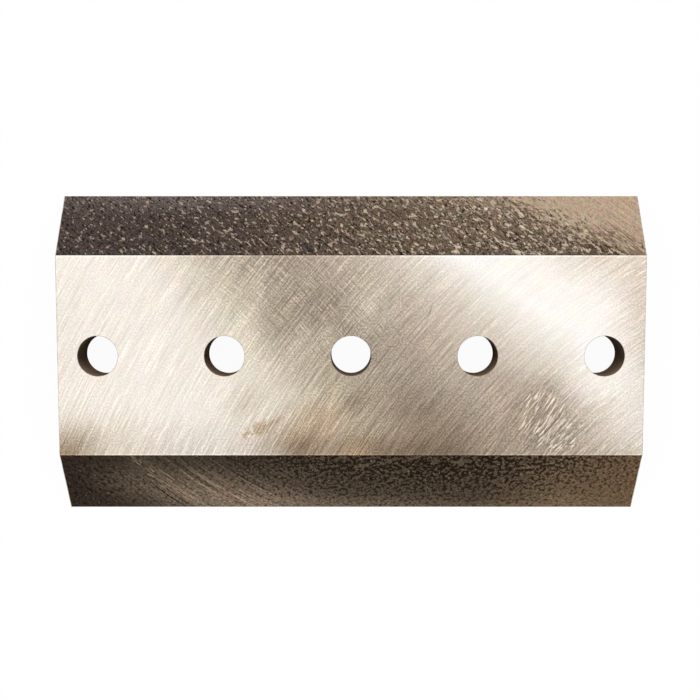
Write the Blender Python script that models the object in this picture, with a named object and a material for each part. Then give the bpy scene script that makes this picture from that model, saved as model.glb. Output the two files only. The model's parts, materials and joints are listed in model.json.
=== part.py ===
"""Double-edged chipper knife: one flat steel plate, bevelled along both long sides and bored for bolts.

The knife lies on its back face. X runs along its length, Y from one cutting edge to the other,
and Z from the back face up to the front face. The origin is the middle of the back face.
"""

from math import cos, radians, sin, sqrt, tan

import bmesh
import bpy
from mathutils import Vector

# Plate, in metres
KNIFE_LENGTH = 0.254
KNIFE_WIDTH = 0.1397
KNIFE_THICKNESS = 0.015875

# Ground bevels: the angle is in degrees, between a bevel and the back face
BEVEL_ANGLE = 30.5
CUTTING_EDGE_LAND = 0.0001
ARRIS_BREAK = 0.0002
END_BREAK = 0.0002

# Row of plain bolt holes on the long centre line
BOLT_HOLE_COUNT = 5
BOLT_HOLE_DIAMETER = 0.0174625
BOLT_HOLE_END_MARGIN = 0.0174625
BOLT_HOLE_CHAMFER = 0.00015
BOLT_HOLE_SIDES = 64

# How far a hole cutter stands out of both faces
CUTTER_OVERRUN = 0.002

# Shading: edges turned by more than this, in degrees, stay sharp
SHARP_ANGLE = 30.0

# Finishes: linear colour, roughness, metallic
GROUND_FACE_FINISH = ((0.70, 0.66, 0.60), 0.38, 1.0)
DARK_BEVEL_FINISH = ((0.16, 0.13, 0.10), 0.55, 0.8)
GROUND_SLOT = 0
DARK_SLOT = 1

LONG_SIDES = (-1, 1)
UP = Vector((0.0, 0.0, 1.0))


def clear_scene():
    """Remove every object that the scene holds."""
    for old in list(bpy.data.objects):
        bpy.data.objects.remove(old, do_unlink=True)


def steel_material(name, finish):
    """Return a metal material with one plain colour, roughness and metallic value."""
    colour, roughness, metallic = finish
    material = bpy.data.materials.new(name)
    material.use_nodes = True
    shader = material.node_tree.nodes["Principled BSDF"]
    shader.inputs["Base Color"].default_value = (*colour, 1.0)
    shader.inputs["Roughness"].default_value = roughness
    shader.inputs["Metallic"].default_value = metallic
    material.diffuse_color = (*colour, 1.0)
    return material


def knife_materials():
    """Return the materials in slot order: bright ground faces, then dark bevels, ends and bores."""
    return (
        steel_material("ground_face_steel", GROUND_FACE_FINISH),
        steel_material("dark_bevel_steel", DARK_BEVEL_FINISH),
    )


def bevel_normal(side):
    """Return the outward normal of the bevel on one long side."""
    angle = radians(BEVEL_ANGLE)
    return Vector((0.0, side * sin(angle), cos(angle)))


def front_face_half_width():
    """Return the distance from the centre line to the arris where the front face meets a bevel."""
    bevel_rise = KNIFE_THICKNESS - CUTTING_EDGE_LAND
    return KNIFE_WIDTH / 2 - bevel_rise / tan(radians(BEVEL_ANGLE))


def grind(plate, point, normal):
    """Take off all that lies outside a plane, and close the plate with one flat face there."""
    bmesh.ops.bisect_plane(
        plate,
        geom=plate.verts[:] + plate.edges[:] + plate.faces[:],
        dist=1e-8,
        plane_co=point,
        plane_no=normal,
        clear_outer=True,
    )
    rim = [edge for edge in plate.edges if edge.is_boundary]
    bmesh.ops.contextual_create(plate, geom=rim)


def saw_plate_blank():
    """Return a square-edged plate with its back face on the ground plane."""
    plate = bmesh.new()
    bmesh.ops.create_cube(plate, size=1.0)
    bmesh.ops.scale(plate, verts=plate.verts, vec=(KNIFE_LENGTH, KNIFE_WIDTH, KNIFE_THICKNESS))
    bmesh.ops.translate(plate, verts=plate.verts, vec=UP * (KNIFE_THICKNESS / 2))
    return plate


def grind_bevels(plate):
    """Grind a bevel along each long side, which leaves a narrow land as the cutting edge."""
    for side in LONG_SIDES:
        cutting_edge = Vector((0.0, side * KNIFE_WIDTH / 2, CUTTING_EDGE_LAND))
        grind(plate, cutting_edge, bevel_normal(side))


def break_arrises(plate):
    """Take the sharpness off the edge between the front face and each bevel."""
    depth = ARRIS_BREAK / 2 * tan(radians(BEVEL_ANGLE) / 2)
    for side in LONG_SIDES:
        arris = Vector((0.0, side * front_face_half_width(), KNIFE_THICKNESS))
        normal = (UP + bevel_normal(side)).normalized()
        grind(plate, arris - normal * depth, normal)


def break_end_edges(plate):
    """Chamfer the edges where both end faces meet the front, the back and the bevels."""
    depth = END_BREAK / sqrt(2)
    for end in (-1, 1):
        end_normal = Vector((end, 0.0, 0.0))
        end_centre = end_normal * (KNIFE_LENGTH / 2)
        edges = [(end_centre + UP * KNIFE_THICKNESS, UP), (end_centre, -UP)]
        for side in LONG_SIDES:
            cutting_edge = Vector((0.0, side * KNIFE_WIDTH / 2, CUTTING_EDGE_LAND))
            edges.append((end_centre + cutting_edge, bevel_normal(side)))
        for point, face_normal in edges:
            normal = (end_normal + face_normal).normalized()
            grind(plate, point - normal * depth, normal)


def paint_plate(plate):
    """Give the flat faces the bright finish, and everything between them the dark one."""
    for face in plate.faces:
        is_flat = abs(face.normal.z) > cos(radians(BEVEL_ANGLE) / 4)
        face.material_index = GROUND_SLOT if is_flat else DARK_SLOT


def add_mesh_object(name, shape, materials):
    """Turn a bmesh into a named object in the scene, and return it."""
    mesh = bpy.data.meshes.new(name)
    shape.to_mesh(mesh)
    shape.free()
    for material in materials:
        mesh.materials.append(material)
    item = bpy.data.objects.new(name, mesh)
    bpy.context.scene.collection.objects.link(item)
    return item


def make_knife_plate(materials):
    """Return the ground plate, still without its bolt holes."""
    plate = saw_plate_blank()
    grind_bevels(plate)
    break_arrises(plate)
    break_end_edges(plate)
    plate.normal_update()
    paint_plate(plate)
    return add_mesh_object("chipper_knife", plate, materials)


def bolt_hole_positions():
    """Return the X of each hole: spread evenly, with the same margin at both ends."""
    first = -KNIFE_LENGTH / 2 + BOLT_HOLE_END_MARGIN
    pitch = (KNIFE_LENGTH - 2 * BOLT_HOLE_END_MARGIN) / (BOLT_HOLE_COUNT - 1)
    return [first + index * pitch for index in range(BOLT_HOLE_COUNT)]


def bolt_hole_profile():
    """Return the cutter's outline, bottom to top: a straight bore that flares at both faces."""
    radius = BOLT_HOLE_DIAMETER / 2
    flare_radius = radius + BOLT_HOLE_CHAMFER + CUTTER_OVERRUN
    return [
        Vector((flare_radius, 0.0, -CUTTER_OVERRUN)),
        Vector((radius, 0.0, BOLT_HOLE_CHAMFER)),
        Vector((radius, 0.0, KNIFE_THICKNESS - BOLT_HOLE_CHAMFER)),
        Vector((flare_radius, 0.0, KNIFE_THICKNESS + CUTTER_OVERRUN)),
    ]


def make_hole_cutter(name, centre_x, materials):
    """Return a turned cutter that bores one bolt hole and chamfers both its mouths."""
    cutter = bmesh.new()
    outline = [cutter.verts.new(point) for point in bolt_hole_profile()]
    for lower, upper in zip(outline, outline[1:]):
        cutter.edges.new((lower, upper))
    bmesh.ops.spin(
        cutter,
        geom=cutter.verts[:] + cutter.edges[:],
        cent=(0.0, 0.0, 0.0),
        axis=UP,
        angle=radians(360),
        steps=BOLT_HOLE_SIDES,
        use_merge=True,
    )
    bmesh.ops.holes_fill(cutter, edges=[edge for edge in cutter.edges if edge.is_boundary])
    bmesh.ops.recalc_face_normals(cutter, faces=cutter.faces)
    for face in cutter.faces:
        face.material_index = DARK_SLOT
    item = add_mesh_object(name, cutter, materials)
    item.data.shade_smooth()
    item.data.set_sharp_from_angle(angle=radians(SHARP_ANGLE))
    item.location.x = centre_x
    item.hide_render = True
    item.display_type = "WIRE"
    return item


def bore_bolt_holes(knife, materials):
    """Cut the row of bolt holes through the plate, each with its own cutter."""
    for number, centre_x in enumerate(bolt_hole_positions(), start=1):
        cutter = make_hole_cutter(f"bolt_hole_cutter_{number}", centre_x, materials)
        bore = knife.modifiers.new(f"bolt_hole_{number}", "BOOLEAN")
        bore.operation = "DIFFERENCE"
        bore.solver = "EXACT"
        bore.object = cutter


def main():
    """Build the knife."""
    clear_scene()
    materials = knife_materials()
    knife = make_knife_plate(materials)
    bore_bolt_holes(knife, materials)


main()
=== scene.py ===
"""A double-edged wood chipper knife lying on its back face in a plain white studio.

X runs along the knife, Y from its lower to its upper cutting edge, and Z from its back face up to its
front face, in metres. Finishes are laid out in millimetres of the same frame.
"""

import json
import logging
from abc import ABC, abstractmethod
from dataclasses import dataclass, field
from enum import Enum, IntEnum
from math import cos, hypot, pi, radians, sin, tan

import bmesh
import bpy
from mathutils import Color, Euler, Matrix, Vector


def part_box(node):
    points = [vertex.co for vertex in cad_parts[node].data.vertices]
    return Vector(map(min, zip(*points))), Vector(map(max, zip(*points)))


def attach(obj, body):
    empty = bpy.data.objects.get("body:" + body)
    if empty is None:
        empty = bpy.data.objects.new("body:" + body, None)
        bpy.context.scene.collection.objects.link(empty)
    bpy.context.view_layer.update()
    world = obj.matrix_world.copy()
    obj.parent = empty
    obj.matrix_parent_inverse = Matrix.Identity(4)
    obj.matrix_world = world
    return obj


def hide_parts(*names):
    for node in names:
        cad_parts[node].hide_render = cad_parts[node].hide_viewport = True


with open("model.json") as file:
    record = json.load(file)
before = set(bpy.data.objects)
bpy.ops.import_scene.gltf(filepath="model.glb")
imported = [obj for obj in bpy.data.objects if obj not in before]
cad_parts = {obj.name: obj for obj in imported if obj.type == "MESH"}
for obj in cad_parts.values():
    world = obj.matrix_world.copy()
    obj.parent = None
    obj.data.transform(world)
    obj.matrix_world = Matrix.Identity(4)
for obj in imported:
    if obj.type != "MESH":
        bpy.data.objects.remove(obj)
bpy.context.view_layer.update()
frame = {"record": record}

log = logging.getLogger("chipper_knife")

KNIFE_NODE = "chipper_knife"
KNIFE_BODY = "root"
MILLIMETRES = 1000.0
CHANNEL_TOP = 255

# A cloudy pattern's values lie round its middle, and a soft step from start to end parts low from high
CLOUD_MIDDLE = 0.5
CLOUD_MIDDLE_COLOUR = (CLOUD_MIDDLE, CLOUD_MIDDLE, CLOUD_MIDDLE)
CLOUD_START = 0.35
CLOUD_END = 0.65

# Shares that stretch a set of streaks: its lines along themselves, and its breaks across several lines
STREAK_RUN_SHARE = 0.25
STREAK_BREAK_SHARE = 0.5

# How an edge line's width wanders: features for each millimetre, cloud levels, and the factors there
EDGE_LINE_SCALE = 0.9
EDGE_LINE_LEVELS = (0.3, 0.7)
EDGE_LINE_FACTORS = (0.5, 1.5)

Socket = bpy.types.NodeSocket
Feed = Socket | float | tuple
Point = tuple[float, float]
Colour = tuple[int, int, int]


def linear(colour: Colour) -> tuple[float, float, float, float]:
    """Turn an 8-bit display colour into the linear colour that a shader takes.

    Args:
        colour: Red, green and blue, from 0 to 255.

    Returns:
        Linear red, green and blue, and full opacity.
    """
    display = Color([channel / CHANNEL_TOP for channel in colour])
    return (*display.from_srgb_to_scene_linear(), 1.0)


class Surface(IntEnum):
    """The knife's surfaces, in the order of its material slots."""

    FRONT = 0
    UPPER_BEVEL = 1
    LOWER_BEVEL = 2
    BACK = 3
    BORE = 4
    END = 5
    BROKEN_EDGE = 6


class LongSide(Enum):
    """The two long sides of the knife, by the sign of their Y."""

    UPPER = 1
    LOWER = -1


class Wires:
    """Adds shader nodes to one node tree and joins their sockets."""

    def __init__(self, tree: bpy.types.NodeTree) -> None:
        """Keep the tree that the nodes go into."""
        self.tree = tree

    def feed(self, node: bpy.types.Node, feeds: dict[str | int, Feed]) -> bpy.types.Node:
        """Link a socket or set a value into each input of a node that is fed.

        Args:
            node: The node.
            feeds: Input name or number, and the socket or value that goes into it.

        Returns:
            The same node.
        """
        for key, value in feeds.items():
            if isinstance(value, Socket):
                self.tree.links.new(value, node.inputs[key])
            else:
                node.inputs[key].default_value = value
        return node

    def put(self, kind: str, feeds: dict[str | int, Feed], **options: object) -> bpy.types.Node:
        """Add one node.

        Args:
            kind: Identifier of the node's type, without its ShaderNode prefix.
            feeds: Input name or number, and the socket or value that goes into it.
            options: Settings of the node itself.

        Returns:
            The new node.
        """
        node = self.tree.nodes.new(f"ShaderNode{kind}")
        for name, option in options.items():
            setattr(node, name, option)
        return self.feed(node, feeds)

    def group(self, tree: bpy.types.NodeTree, feeds: dict[str, Feed]) -> bpy.types.Node:
        """Place a shared node group, feed its inputs and return it."""
        return self.put("Group", feeds, node_tree=tree)

    def math(self, operation: str, *feeds: Feed) -> Socket:
        """Return the result of a maths operation on one to three values."""
        return self.put("Math", dict(enumerate(feeds)), operation=operation).outputs[0]

    def vector(self, operation: str, *feeds: Feed) -> Socket:
        """Return the vector that an operation on vectors gives."""
        return self.put("VectorMath", dict(enumerate(feeds)), operation=operation).outputs["Vector"]

    def scaled(self, vector: Socket, factor: Feed) -> Socket:
        """Return a vector or a colour times one number."""
        return self.put("VectorMath", {0: vector, "Scale": factor}, operation="SCALE").outputs["Vector"]

    def measure(self, operation: str, *feeds: Feed) -> Socket:
        """Return the number that an operation on vectors gives."""
        return self.put("VectorMath", dict(enumerate(feeds)), operation=operation).outputs["Value"]

    def split(self, vector: Socket) -> tuple[Socket, Socket, Socket]:
        """Return a vector's three components."""
        outputs = self.put("SeparateXYZ", {"Vector": vector}).outputs
        return outputs[0], outputs[1], outputs[2]

    def join(self, x: Feed, y: Feed, z: Feed) -> Socket:
        """Return the vector with the given components."""
        return self.put("CombineXYZ", {0: x, 1: y, 2: z}).outputs[0]

    def turned(self, vector: Socket, angle: Feed) -> Socket:
        """Return a vector seen along axes that are turned about Z by an angle in radians."""
        feeds = {"Vector": vector, "Angle": self.math("MULTIPLY", angle, -1.0)}
        return self.put("VectorRotate", feeds, rotation_type="Z_AXIS").outputs[0]

    def noise(self, vector: Socket, scale: Feed, detail: float = 2.0) -> bpy.types.Node:
        """Add a cloudy pattern.

        Args:
            vector: Where on the pattern.
            scale: Features for each unit of the vector.
            detail: Number of finer layers.

        Returns:
            The node, whose first output is a value round its middle and whose second is a colour.
        """
        return self.put("TexNoise", {"Vector": vector, "Scale": scale, "Detail": detail})

    def ease(self, value: Socket, start: Feed, end: Feed, low: Feed = 0.0, high: Feed = 1.0) -> Socket:
        """Return a smooth step: low before start, high after end."""
        feeds = {"Value": value, "From Min": start, "From Max": end, "To Min": low, "To Max": high}
        return self.put("MapRange", feeds, interpolation_type="SMOOTHSTEP").outputs[0]

    def spread(self, value: Socket, start: Feed, end: Feed, low: Feed, high: Feed) -> Socket:
        """Return a value that goes evenly from low at start to high at end, and no further."""
        feeds = {"Value": value, "From Min": start, "From Max": end, "To Min": low, "To Max": high}
        return self.put("MapRange", feeds).outputs[0]

    def blend(self, factor: Feed, first: Feed, second: Feed) -> Socket:
        """Return the colour a factor of the way from the first to the second."""
        return self.put("Mix", {0: factor, 6: first, 7: second}, data_type="RGBA").outputs[2]

    def between(self, factor: Feed, first: Feed, second: Feed) -> Socket:
        """Return the value a factor of the way from the first to the second."""
        return self.put("Mix", {0: factor, 2: first, 3: second}, data_type="FLOAT").outputs[0]

    def ramp(self, share: Socket, stops: tuple[tuple[float, Colour], ...]) -> Socket:
        """Return the colour along a row of stops.

        Args:
            share: How far along the row, from 0 to 1.
            stops: Each stop's share and colour.

        Returns:
            The colour there.
        """
        node = self.put("ValToRGB", {"Fac": share})
        elements = node.color_ramp.elements
        elements.remove(elements[1])
        for number, (position, colour) in enumerate(stops):
            element = elements[0] if number == 0 else elements.new(position)
            element.position = position
            element.color = linear(colour)
        return node.outputs["Color"]

    def place(self) -> Socket:
        """Return the shaded point in the knife's frame, in millimetres."""
        coordinates = self.put("TexCoord", {})
        return self.scaled(coordinates.outputs["Object"], MILLIMETRES)


class SocketKind(Enum):
    """The kinds of socket that the shared groups have."""

    VALUE = "NodeSocketFloat"
    VECTOR = "NodeSocketVector"


class SharedGroup:
    """A shader node group with named inputs and outputs, while its inside is being wired."""

    def __init__(self, name: str, takes: dict[str, SocketKind], gives: dict[str, SocketKind]) -> None:
        """Start the group with its sockets.

        Args:
            name: The group's name.
            takes: Its inputs, by name.
            gives: Its outputs, by name.
        """
        self.tree = bpy.data.node_groups.new(name, "ShaderNodeTree")
        for direction, sockets in (("INPUT", takes), ("OUTPUT", gives)):
            for label, kind in sockets.items():
                self.tree.interface.new_socket(name=label, in_out=direction, socket_type=kind.value)
        self.wires = Wires(self.tree)
        self.inputs = self.tree.nodes.new("NodeGroupInput").outputs
        self.result = self.tree.nodes.new("NodeGroupOutput")

    def give(self, **results: Socket) -> bpy.types.NodeTree:
        """Lead each named result out of the group, and return the group's tree."""
        self.wires.feed(self.result, results)
        return self.tree


class SharedEffects:
    """The shader node groups that more than one finish uses, each built once."""

    def __init__(self) -> None:
        """Build the groups."""
        self.soft_ellipse = self.make_soft_ellipse()
        self.arc_streaks = self.make_arc_streaks()
        self.mottle = self.make_mottle()
        self.edge_line = self.make_edge_line()
        self.tint_drift = self.make_tint_drift()

    @staticmethod
    def make_soft_ellipse() -> bpy.types.NodeTree:
        """Make a group whose mask is 1 inside a turned ellipse and fades to 0 at its rim.

        Returns:
            The group's tree.
        """
        takes = {
            "Place": SocketKind.VECTOR,
            "Centre": SocketKind.VECTOR,
            "HalfSize": SocketKind.VECTOR,
            "Turn": SocketKind.VALUE,
            "Core": SocketKind.VALUE,
        }
        group = SharedGroup("soft_ellipse", takes, {"Mask": SocketKind.VALUE})
        wires, inputs = group.wires, group.inputs
        away = wires.vector("SUBTRACT", inputs["Place"], inputs["Centre"])
        shares = wires.vector("DIVIDE", wires.turned(away, inputs["Turn"]), inputs["HalfSize"])
        x, y, _ = wires.split(shares)
        reach = wires.measure("LENGTH", wires.join(x, y, 0.0))
        return group.give(Mask=wires.ease(reach, inputs["Core"], 1.0, 1.0, 0.0))

    @staticmethod
    def make_arc_streaks() -> bpy.types.NodeTree:
        """Make a group of fine streaks along arcs round a far centre, with values around 0.

        Even lines run on for a long way, and patches let each of them fade in and out.
        An odd power above 1 keeps only the strongest streaks, both light and dark.

        Returns:
            The group's tree.
        """
        takes = {
            "Place": SocketKind.VECTOR,
            "Centre": SocketKind.VECTOR,
            "Radius": SocketKind.VALUE,
            "Spacing": SocketKind.VALUE,
            "Length": SocketKind.VALUE,
            "Seed": SocketKind.VALUE,
            "Power": SocketKind.VALUE,
        }
        group = SharedGroup("arc_streaks", takes, {"Streaks": SocketKind.VALUE})
        wires, inputs = group.wires, group.inputs
        x, y, _ = wires.split(wires.vector("SUBTRACT", inputs["Place"], inputs["Centre"]))
        reach = wires.measure("LENGTH", wires.join(x, y, 0.0))
        along = wires.math("MULTIPLY", wires.math("ARCTAN2", y, x), inputs["Radius"])
        across_share = wires.math("DIVIDE", reach, inputs["Spacing"])
        along_share = wires.math("DIVIDE", along, inputs["Length"])
        run_share = wires.math("MULTIPLY", along_share, STREAK_RUN_SHARE)
        run = wires.join(across_share, run_share, inputs["Seed"])
        swing = wires.math("SUBTRACT", wires.noise(run, 1.0, 0.0).outputs[0], CLOUD_MIDDLE)
        break_share = wires.math("MULTIPLY", across_share, STREAK_BREAK_SHARE)
        breaks = wires.join(break_share, along_share, inputs["Seed"])
        patches = wires.ease(wires.noise(breaks, 1.0, 1.0).outputs[0], CLOUD_START, CLOUD_END)
        streaks = wires.math("MULTIPLY", wires.math("POWER", swing, inputs["Power"]), patches)
        return group.give(Streaks=streaks)

    @staticmethod
    def make_mottle() -> bpy.types.NodeTree:
        """Make a group of a stretched cloudy pattern: its swing, its islands and the rims round them.

        Returns:
            The group's tree.
        """
        takes = {
            "Place": SocketKind.VECTOR,
            "Turn": SocketKind.VALUE,
            "Stretch": SocketKind.VALUE,
            "Size": SocketKind.VALUE,
            "Seed": SocketKind.VALUE,
            "Level": SocketKind.VALUE,
            "Edge": SocketKind.VALUE,
            "RimWidth": SocketKind.VALUE,
        }
        gives = {"Swing": SocketKind.VALUE, "Islands": SocketKind.VALUE, "Rims": SocketKind.VALUE}
        group = SharedGroup("mottle", takes, gives)
        wires, inputs = group.wires, group.inputs
        x, y, _ = wires.split(wires.turned(inputs["Place"], inputs["Turn"]))
        along = wires.math("DIVIDE", x, wires.math("MULTIPLY", inputs["Size"], inputs["Stretch"]))
        across = wires.math("DIVIDE", y, inputs["Size"])
        pattern = wires.noise(wires.join(along, across, inputs["Seed"]), 1.0).outputs[0]
        level = inputs["Level"]
        islands = wires.ease(pattern, level, wires.math("ADD", level, inputs["Edge"]))
        near = wires.ease(pattern, wires.math("SUBTRACT", level, inputs["RimWidth"]), level)
        return group.give(
            Swing=wires.math("SUBTRACT", pattern, CLOUD_MIDDLE),
            Islands=islands,
            Rims=wires.math("SUBTRACT", near, islands),
        )

    @staticmethod
    def make_edge_line() -> bpy.types.NodeTree:
        """Make a group whose mask follows a line along both long sides, a little unevenly.

        Returns:
            The group's tree.
        """
        takes = {"Place": SocketKind.VECTOR, "Line": SocketKind.VALUE, "Width": SocketKind.VALUE}
        group = SharedGroup("edge_line", takes, {"Mask": SocketKind.VALUE})
        wires, inputs = group.wires, group.inputs
        _, y, _ = wires.split(inputs["Place"])
        away = wires.math("ABSOLUTE", wires.math("SUBTRACT", wires.math("ABSOLUTE", y), inputs["Line"]))
        clouds = wires.noise(inputs["Place"], EDGE_LINE_SCALE).outputs[0]
        uneven = wires.spread(clouds, *EDGE_LINE_LEVELS, *EDGE_LINE_FACTORS)
        width = wires.math("MULTIPLY", inputs["Width"], uneven)
        return group.give(Mask=wires.ease(away, 0.0, width, 1.0, 0.0))

    @staticmethod
    def make_tint_drift() -> bpy.types.NodeTree:
        """Make a group whose tint drifts a little round white from place to place.

        Returns:
            The group's tree.
        """
        takes = {"Place": SocketKind.VECTOR, "Size": SocketKind.VALUE, "Strength": SocketKind.VALUE}
        group = SharedGroup("tint_drift", takes, {"Tint": SocketKind.VECTOR})
        wires, inputs = group.wires, group.inputs
        clouds = wires.noise(inputs["Place"], wires.math("DIVIDE", 1.0, inputs["Size"])).outputs[1]
        swing = wires.scaled(wires.vector("SUBTRACT", clouds, CLOUD_MIDDLE_COLOUR), inputs["Strength"])
        return group.give(Tint=wires.vector("ADD", swing, (1.0, 1.0, 1.0)))


@dataclass(frozen=True)
class Spot:
    """A shaded point of a surface, in millimetres, with the wires and shared groups that finish it."""

    wires: Wires
    shared: SharedEffects
    place: Socket

    def moved(self, way: Socket) -> "Spot":
        """Return the spot that lies a way off."""
        return Spot(self.wires, self.shared, self.wires.vector("ADD", self.place, way))

    def look(self, group: bpy.types.NodeTree, feeds: dict[str, Feed]) -> bpy.types.Node:
        """Return a shared group that is placed to look at this spot."""
        return self.wires.group(group, {"Place": self.place, **feeds})

    def on_line(self, line: float, width: float) -> Socket:
        """Return how far the spot is on a line along both long sides."""
        return self.look(self.shared.edge_line, {"Line": line, "Width": width}).outputs["Mask"]

    def tint(self, size: float, strength: float) -> Socket:
        """Return the tint near white that the spot has."""
        return self.look(self.shared.tint_drift, {"Size": size, "Strength": strength}).outputs["Tint"]


class Field(ABC):
    """A part of a surface that fades into the rest of it."""

    @abstractmethod
    def mask(self, spot: Spot) -> Socket:
        """Return how far a spot is inside the field: 0 outside, 1 inside."""


@dataclass(frozen=True)
class Oval(Field):
    """A soft turned ellipse, in millimetres and degrees; inside its core the mask is full."""

    centre: Point
    half_size: Point
    turn: float = 0.0
    core: float = 0.0

    def mask(self, spot: Spot) -> Socket:
        """Return how far a spot is inside the ellipse.

        Args:
            spot: The shaded spot.

        Returns:
            A value from 0 outside to 1 inside.
        """
        feeds = {
            "Centre": (*self.centre, 0.0),
            "HalfSize": (*self.half_size, 1.0),
            "Turn": radians(self.turn),
            "Core": self.core,
        }
        return spot.look(spot.shared.soft_ellipse, feeds).outputs["Mask"]


@dataclass(frozen=True)
class Beyond(Field):
    """What lies past a straight line, in millimetres: the mask fills from the line onwards.

    The heading is the way from the line into the field, in degrees from +X.
    """

    start: Point
    heading: float
    fade: float

    def mask(self, spot: Spot) -> Socket:
        """Return how far a spot is past the line.

        Args:
            spot: The shaded spot.

        Returns:
            A value from 0 on the line to 1 where the fade ends.
        """
        way = (cos(radians(self.heading)), sin(radians(self.heading)), 0.0)
        away = spot.wires.vector("SUBTRACT", spot.place, (*self.start, 0.0))
        past = spot.wires.measure("DOT_PRODUCT", away, way)
        return spot.wires.spread(past, 0.0, self.fade, 0.0, 1.0)


EVERYWHERE = Oval((0.0, 0.0), (900.0, 900.0), core=0.9)


@dataclass(frozen=True)
class Patch:
    """A field of another tone."""

    field: Field
    colour: Colour
    strength: float = 1.0

    def over(self, spot: Spot, colour: Feed) -> Socket:
        """Return a colour with the patch laid over it."""
        mask = spot.wires.math("MULTIPLY", self.field.mask(spot), self.strength)
        return spot.wires.blend(mask, colour, linear(self.colour))


class Tones(ABC):
    """Soft tones that pass into one another over a whole surface."""

    stops: tuple[tuple[float, Colour], ...]

    @abstractmethod
    def measure(self, spot: Spot) -> Socket:
        """Return what the stops are set out by, at a spot."""

    def colour(self, spot: Spot) -> Socket:
        """Return the tone at a spot.

        Args:
            spot: The shaded spot.

        Returns:
            Its colour.
        """
        first, last = self.stops[0][0], self.stops[-1][0]
        share = spot.wires.spread(self.measure(spot), first, last, 0.0, 1.0)
        shares = tuple(((stop - first) / (last - first), tone) for stop, tone in self.stops)
        return spot.wires.ramp(share, shares)


@dataclass(frozen=True)
class SheenFan(Tones):
    """Painted sheen: tones that fan out from one point, as light does on arcs of scratches.

    Each stop holds an angle in degrees, clockwise from +X, and the tone there.
    """

    apex: Point
    stops: tuple[tuple[float, Colour], ...]

    def measure(self, spot: Spot) -> Socket:
        """Return the angle in degrees at which a spot is seen from the apex.

        Args:
            spot: The shaded spot.

        Returns:
            The angle, clockwise from +X.
        """
        wires = spot.wires
        x, y, _ = wires.split(wires.vector("SUBTRACT", spot.place, (*self.apex, 0.0)))
        return wires.math("DEGREES", wires.math("ARCTAN2", wires.math("MULTIPLY", y, -1.0), x))


@dataclass(frozen=True)
class Lengthwise(Tones):
    """Tones along the knife: each stop holds an X in millimetres and the tone there."""

    stops: tuple[tuple[float, Colour], ...]

    def measure(self, spot: Spot) -> Socket:
        """Return a spot's X in millimetres."""
        return spot.wires.split(spot.place)[0]


class Relief(ABC):
    """Fine ups and downs of a surface, whose painted shade and highlight lighten and darken its colour
    too.
    """

    @abstractmethod
    def swing(self, spot: Spot) -> Socket:
        """Return the height at a spot, above and below 0."""


@dataclass(frozen=True)
class Streaks(Relief):
    """One set of grinding scratches along arcs round one centre, in millimetres."""

    centre: Point
    spacing: float
    length: float
    seed: float
    strength: float
    power: float = 1.0
    field: Field = EVERYWHERE

    def swing(self, spot: Spot) -> Socket:
        """Return the scratches' height at a spot.

        Args:
            spot: The shaded spot.

        Returns:
            The height, above and below 0.
        """
        feeds = {
            "Centre": (*self.centre, 0.0),
            "Radius": hypot(*self.centre),
            "Spacing": self.spacing,
            "Length": self.length,
            "Seed": self.seed,
            "Power": self.power,
        }
        streaks = spot.look(spot.shared.arc_streaks, feeds).outputs["Streaks"]
        strength = spot.wires.math("MULTIPLY", self.field.mask(spot), self.strength)
        return spot.wires.math("MULTIPLY", streaks, strength)


@dataclass(frozen=True)
class Grain(Relief):
    """A fine uneven grain, in millimetres and degrees."""

    size: float
    seed: float
    strength: float
    stretch: float = 1.0
    turn: float = 0.0

    def swing(self, spot: Spot) -> Socket:
        """Return the grain's height at a spot.

        Args:
            spot: The shaded spot.

        Returns:
            The height, above and below 0.
        """
        feeds = {
            "Turn": radians(self.turn),
            "Stretch": self.stretch,
            "Size": self.size,
            "Seed": self.seed,
        }
        clouds = spot.look(spot.shared.mottle, feeds).outputs["Swing"]
        return spot.wires.math("MULTIPLY", clouds, self.strength)


@dataclass(frozen=True)
class Flecks:
    """Islands of another tone, in millimetres and degrees, each with a rim of painted shade.

    A cloudy pattern has to rise over a level to show: one level inside a field, and another outside it.
    The islands keep their full tone inside the field, and the outside share of it elsewhere.
    """

    colour: Colour
    size: float
    stretch: float
    turn: float
    seed: float
    outside: float
    inside: float
    field: Field = EVERYWHERE
    edge: float = 0.05
    rim_width: float = 0.06
    rim_shade: float = 0.5
    outside_share: float = 1.0
    bare_steel: bool = True

    def marks(self, spot: Spot) -> tuple[Socket, Socket]:
        """Return where the flecks and their rims are.

        Args:
            spot: The shaded spot.

        Returns:
            How far the spot is on a fleck, and how far it is on a fleck's rim.
        """
        wires = spot.wires
        within = self.field.mask(spot)
        feeds = {
            "Turn": radians(self.turn),
            "Stretch": self.stretch,
            "Size": self.size,
            "Seed": self.seed,
            "Level": wires.between(within, self.outside, self.inside),
            "Edge": self.edge,
            "RimWidth": self.rim_width,
        }
        outputs = spot.look(spot.shared.mottle, feeds).outputs
        share = wires.between(within, self.outside_share, 1.0)
        islands = wires.math("MULTIPLY", outputs["Islands"], share)
        return islands, wires.math("MULTIPLY", outputs["Rims"], share)


def lay(spot: Spot, colour: Feed, layers: tuple[Flecks, ...]) -> tuple[Feed, Feed]:
    """Lay flecks over a colour, the last on top.

    Args:
        spot: The shaded spot.
        colour: The colour underneath.
        layers: The flecks, in order.

    Returns:
        The new colour, and how far the spot is bare steel.
    """
    bare: Feed = 0.0
    for layer in layers:
        islands, rims = layer.marks(spot)
        shade = spot.wires.math("MULTIPLY_ADD", rims, -layer.rim_shade, 1.0)
        colour = spot.wires.blend(islands, spot.wires.scaled(colour, shade), linear(layer.colour))
        if layer.bare_steel:
            bare = spot.wires.math("MAXIMUM", islands, bare)
    return colour, bare


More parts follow.
